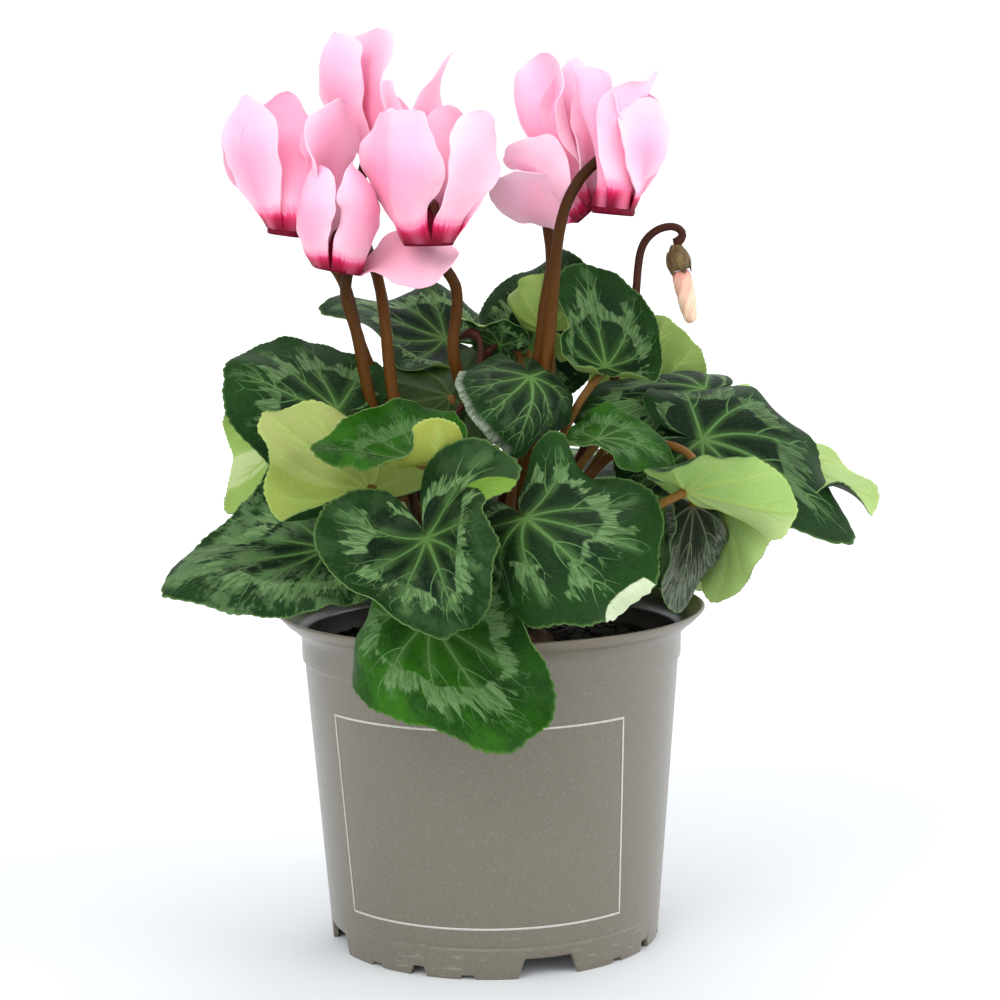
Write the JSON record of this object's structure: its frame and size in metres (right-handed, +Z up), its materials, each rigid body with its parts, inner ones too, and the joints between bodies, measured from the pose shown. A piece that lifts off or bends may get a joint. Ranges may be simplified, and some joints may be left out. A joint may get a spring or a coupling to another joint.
{
  "type": "potted cyclamen",
  "caption": "Flowering cyclamen in a round tapered nursery pot: silver-marbled heart leaves, swept-back pink flowers on dark stems and hooked buds. Stands on the pot's foot ring.",
  "frame": {"origin": "centre of the whole object's box in plan, at the surface the pot stands on; the pot's own axis stands -10.0 mm in X and 7.1 mm in Y from it", "axes": "+Z up along the pot's axis, the viewer's front of the plant faces -Y, +X to the viewer's right"},
  "size_m": [0.198, 0.149, 0.2544],
  "materials": {
    "pot": "satin taupe moulded plastic with fine speckle and a thin pale line frame",
    "soil": "damp dark peat crumb",
    "tuber": "rough corky skin",
    "leaf": "waxy dark green upper side with a silver-green band and pale veins, lighter matte underside",
    "petal": "soft satin pink, deep magenta at the mouth",
    "stem": "smooth reddish brown",
    "calyx": "brown green sepals",
    "bud": "furled cream-pink petals"
  },
  "bodies": {
    "root": {"pot": "pot", "soil": "soil", "tuber": "tuber", "leaf_01": "leaf", "leaf_02": "leaf", "leaf_03": "leaf", "leaf_04": "leaf", "leaf_05": "leaf", "leaf_06": "leaf", "leaf_07": "leaf", "leaf_08": "leaf", "leaf_09": "leaf", "leaf_10": "leaf", "leaf_11": "leaf", "leaf_12": "leaf", "leaf_13": "leaf", "leaf_14": "leaf", "leaf_15": "leaf", "leaf_16": "leaf", "leaf_17": "leaf", "leaf_18": "leaf", "leaf_19": "leaf", "leaf_20": "leaf", "leaf_21": "leaf", "leaf_22": "leaf", "leaf_23": "leaf", "leaf_24": "leaf", "leaf_25": "leaf", "leaf_26": "leaf", "leaf_27": "leaf", "leaf_28": "leaf", "leaf_29": "leaf", "leaf_30": "leaf", "corolla_1": "petal", "calyx_1": "calyx", "flower_stem_1": "stem", "corolla_2": "petal", "calyx_2": "calyx", "flower_stem_2": "stem", "corolla_3": "petal", "calyx_3": "calyx", "flower_stem_3": "stem", "corolla_4": "petal", "calyx_4": "calyx", "flower_stem_4": "stem", "corolla_5": "petal", "calyx_5": "calyx", "flower_stem_5": "stem", "corolla_6": "petal", "calyx_6": "calyx", "flower_stem_6": "stem", "bud_stem": "stem", "bud_calyx": "calyx", "bud_petals": "bud", "young_bud_1": "stem", "young_bud_2": "stem"}
  },
  "joints": []
}
